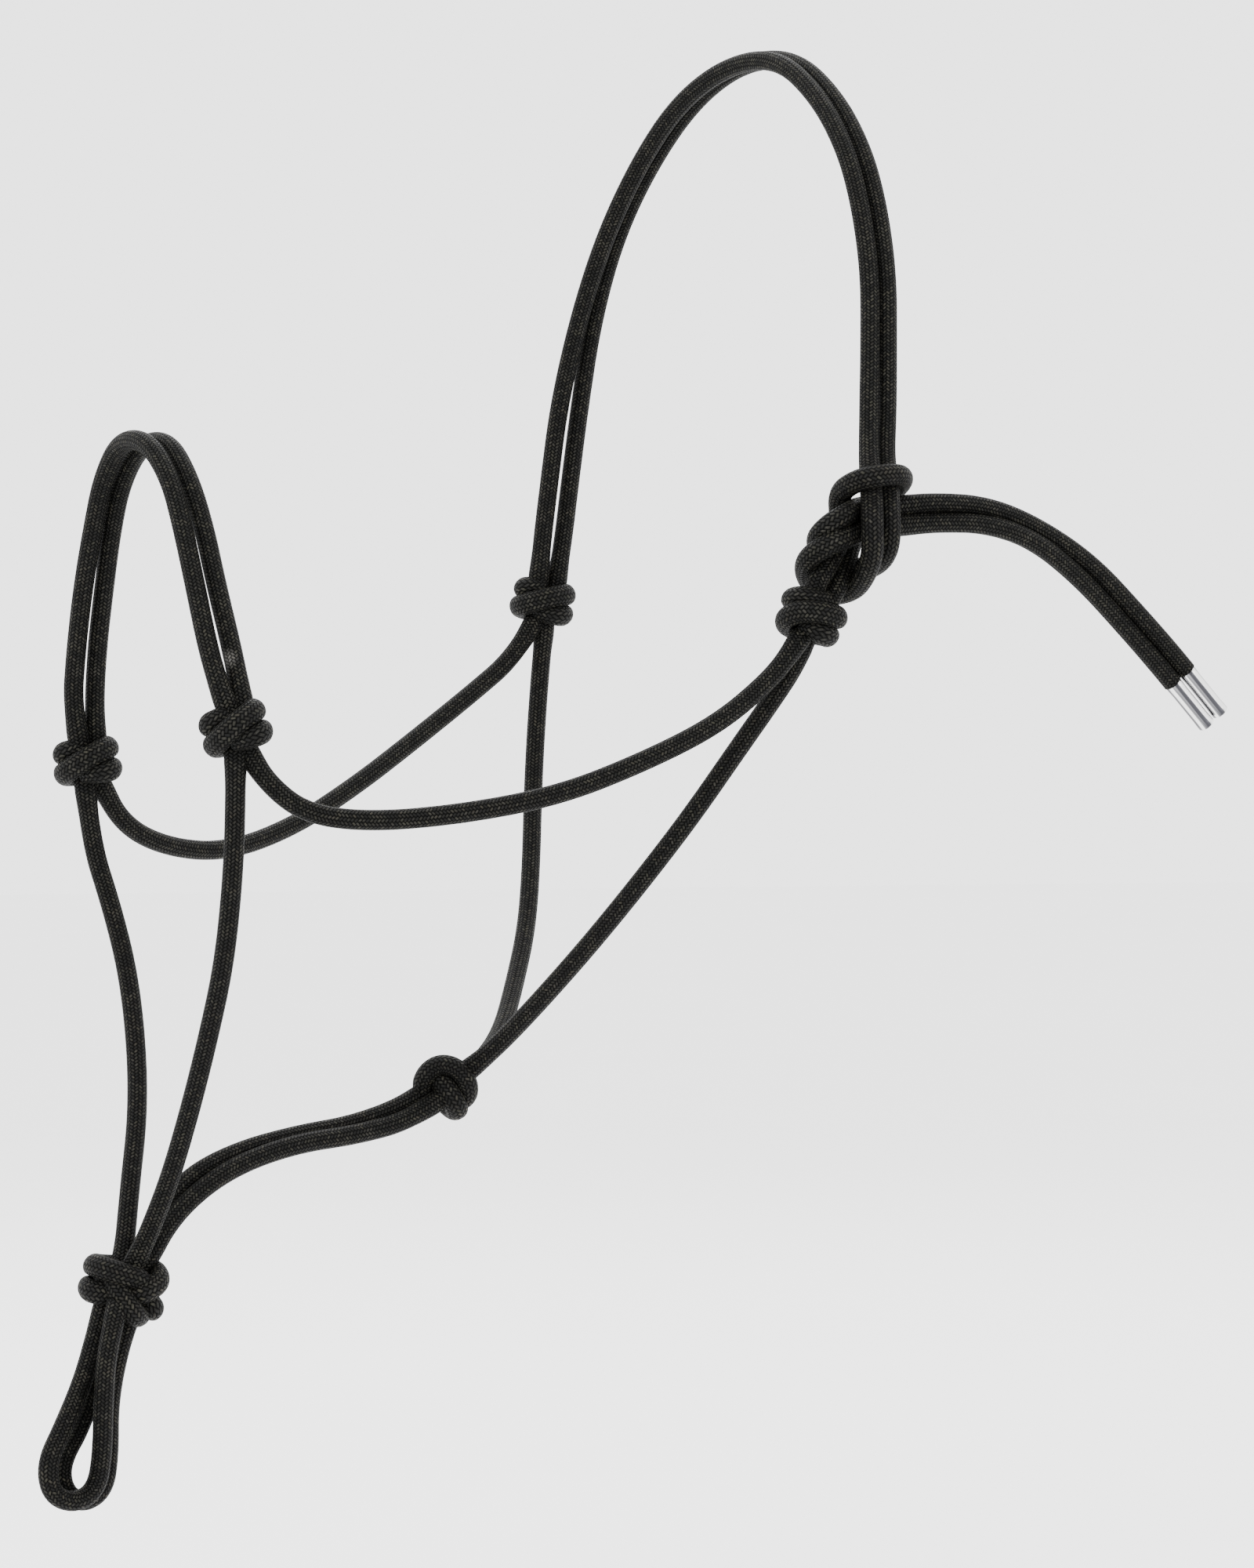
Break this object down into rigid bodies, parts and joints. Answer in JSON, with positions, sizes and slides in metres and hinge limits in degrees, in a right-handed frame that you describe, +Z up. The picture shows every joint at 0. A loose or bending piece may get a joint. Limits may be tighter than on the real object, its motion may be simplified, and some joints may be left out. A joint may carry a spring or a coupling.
{
  "type": "rope halter",
  "caption": "Knotted rope halter for a horse, with a doubled crown tied at the cheek, a doubled noseband and a lead loop under the chin.",
  "frame": {"origin": "underside of the crown at its highest point, where it rests on the horse's poll", "axes": "+Z up, -Y towards the horse's nose, +X towards the near (left) side, where the halter is tied"},
  "size_m": [0.2521, 0.4726, 0.5778],
  "materials": {
    "rope": "charcoal braided synthetic rope, soft sheen; the fibre is a guess",
    "ferrule": "bright crimped sleeve with fine lengthwise lines"
  },
  "bodies": {
    "crown": {"crown_strand_front": "rope", "crown_strand_rear": "rope", "tie_loop": "rope", "sheet_bend_turn_front": "rope", "sheet_bend_turn_rear": "rope", "cheek_knot_near": "rope", "cheek_knot_off": "rope"},
    "face": {"cheek_strand_near": "rope", "cheek_strand_off": "rope", "jaw_strand_near": "rope", "jaw_strand_off": "rope", "throat_strand_near": "rope", "throat_strand_off": "rope", "curb_strand_upper": "rope", "curb_strand_lower": "rope", "throat_knot": "rope", "nose_knot_near": "rope", "nose_knot_off": "rope", "fiador_knot": "rope"},
    "noseband": {"noseband_strand_front": "rope", "noseband_strand_rear": "rope"},
    "lead_loop": {"lead_loop_front": "rope", "lead_loop_rear": "rope"},
    "tail": {"tail_strand_upper": "rope", "tail_strand_lower": "rope", "ferrule_upper": "ferrule", "ferrule_lower": "ferrule"}
  },
  "joints": [
    {"name": "face_swing", "type": "hinge", "parent": "crown", "child": "face", "pos_m": [0.11, -0.045, -0.227], "axis": [0.9982, -0.0136, -0.059], "range_deg": [-20, 20]},
    {"name": "noseband_swing", "type": "hinge", "parent": "face", "child": "noseband", "pos_m": [0.061, -0.27, -0.27], "axis": [0.9944, 0.0408, 0.0978], "range_deg": [-25, 25]},
    {"name": "lead_loop_swing", "type": "hinge", "parent": "face", "child": "lead_loop", "pos_m": [0, -0.288, -0.484], "axis": [1, 0, 0], "range_deg": [-30, 30]},
    {"name": "tail_swing", "type": "hinge", "parent": "crown", "child": "tail", "pos_m": [0.114, 0.005, -0.185], "axis": [1, 0, 0], "range_deg": [-20, 20]}
  ]
}
